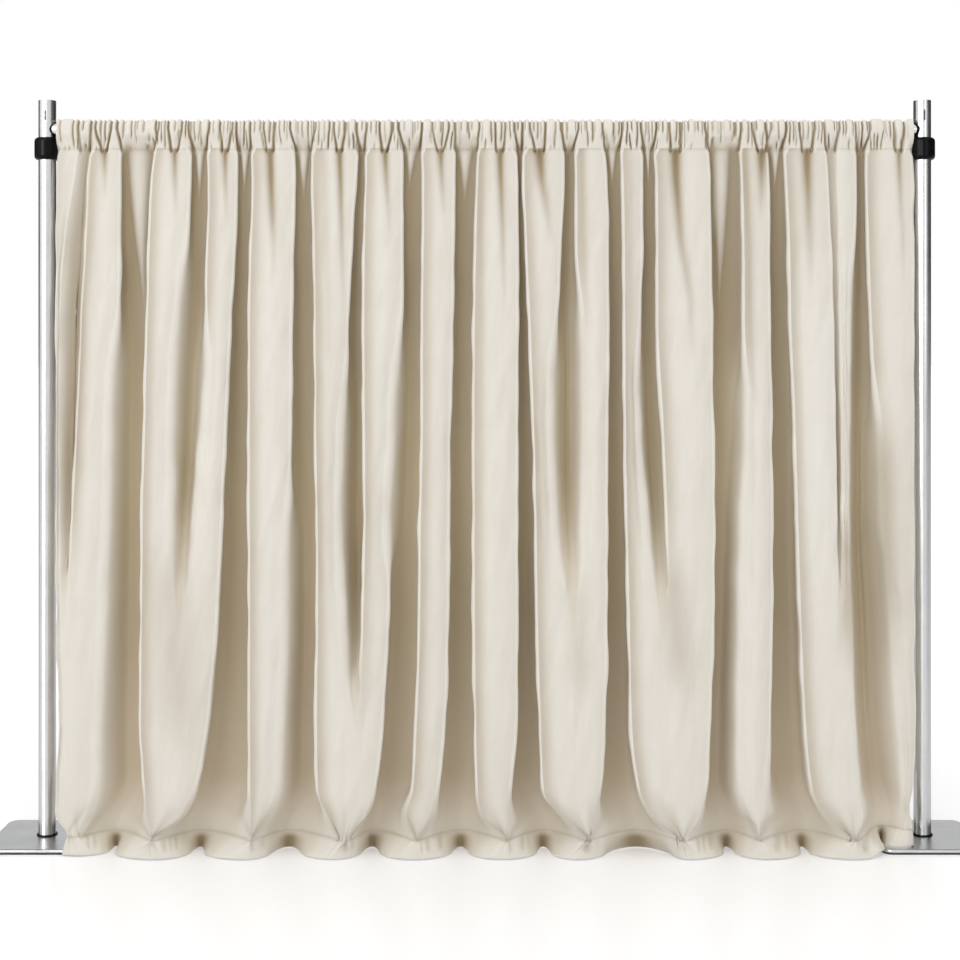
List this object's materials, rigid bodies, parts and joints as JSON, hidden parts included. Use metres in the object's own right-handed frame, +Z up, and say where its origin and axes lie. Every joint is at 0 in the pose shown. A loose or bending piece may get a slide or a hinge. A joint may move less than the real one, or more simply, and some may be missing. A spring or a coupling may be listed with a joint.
{
  "type": "pipe and drape backdrop",
  "caption": "Free-standing drape backdrop: tube uprights on square steel bases, a telescoping crossbar on clamp collars, and gathered floor-length drape panels.",
  "frame": {"origin": "on the floor, midway between the uprights, in the middle of the floor that the bases and the drape's feet cover", "axes": "+X from the left upright to the right one, +Y towards the back, +Z up; the drape faces -Y"},
  "size_m": [3.404, 0.421, 2.5715],
  "materials": {
    "polished_tube": "polished",
    "brushed_steel": "brushed satin",
    "zinc_steel": "zinc plated",
    "black_moulding": "semi-gloss",
    "rubber": "matte",
    "nylon": "natural",
    "brass": "plain",
    "ivory_cloth": "soft satin weave"
  },
  "bodies": {
    "left_stand": {"base_mat_left": "rubber", "base_plate_left": "brushed_steel", "foot_ring_left": "black_moulding", "spigot_left": "zinc_steel", "spigot_screw_left": "zinc_steel", "upright_left": "polished_tube"},
    "crossbar": {"crossbar_outer_tube": "polished_tube", "end_fitting_left": "black_moulding", "collar_left": "black_moulding", "collar_bush_left": "nylon", "clamp_shoe_left": "brass", "drape_panel_1": "ivory_cloth", "drape_panel_2": "ivory_cloth", "drape_panel_3": "ivory_cloth", "drape_panel_4": "ivory_cloth"},
    "clamp_left": {"clamp_screw_left": "zinc_steel", "clamp_knob_left": "black_moulding"},
    "crossbar_extension": {"crossbar_inner_tube": "polished_tube", "crossbar_inner_plug": "black_moulding", "end_fitting_right": "black_moulding", "collar_right": "black_moulding", "collar_bush_right": "nylon", "clamp_shoe_right": "brass"},
    "clamp_right": {"clamp_screw_right": "zinc_steel", "clamp_knob_right": "black_moulding"},
    "right_stand": {"base_mat_right": "rubber", "base_plate_right": "brushed_steel", "foot_ring_right": "black_moulding", "spigot_right": "zinc_steel", "spigot_screw_right": "zinc_steel", "upright_right": "polished_tube"}
  },
  "joints": [
    {"name": "bar_height", "type": "slide", "parent": "left_stand", "child": "crossbar", "axis": [0, 0, 1], "range_m": [-0.6, 0], "deforming": ["drape_panel_1", "drape_panel_2", "drape_panel_3", "drape_panel_4"]},
    {"name": "stand_spacing", "type": "slide", "parent": "left_stand", "child": "right_stand", "axis": [1, 0, 0], "range_m": [0, 0.6]},
    {"name": "bar_length", "type": "slide", "parent": "crossbar", "child": "crossbar_extension", "axis": [1, 0, 0], "range_m": [0, 0.6]},
    {"name": "knob_left", "type": "hinge", "parent": "crossbar", "child": "clamp_left", "pos_m": [-1.524, 0.0325, 2.3987], "axis": [0, 1, 0], "range_deg": [0, 720]},
    {"name": "knob_right", "type": "hinge", "parent": "crossbar_extension", "child": "clamp_right", "pos_m": [1.524, 0.0325, 2.3987], "axis": [0, 1, 0], "range_deg": [0, 720]}
  ],
  "couplings": [
    {"joint": "bar_length", "follows": "stand_spacing", "ratio": 1}
  ]
}
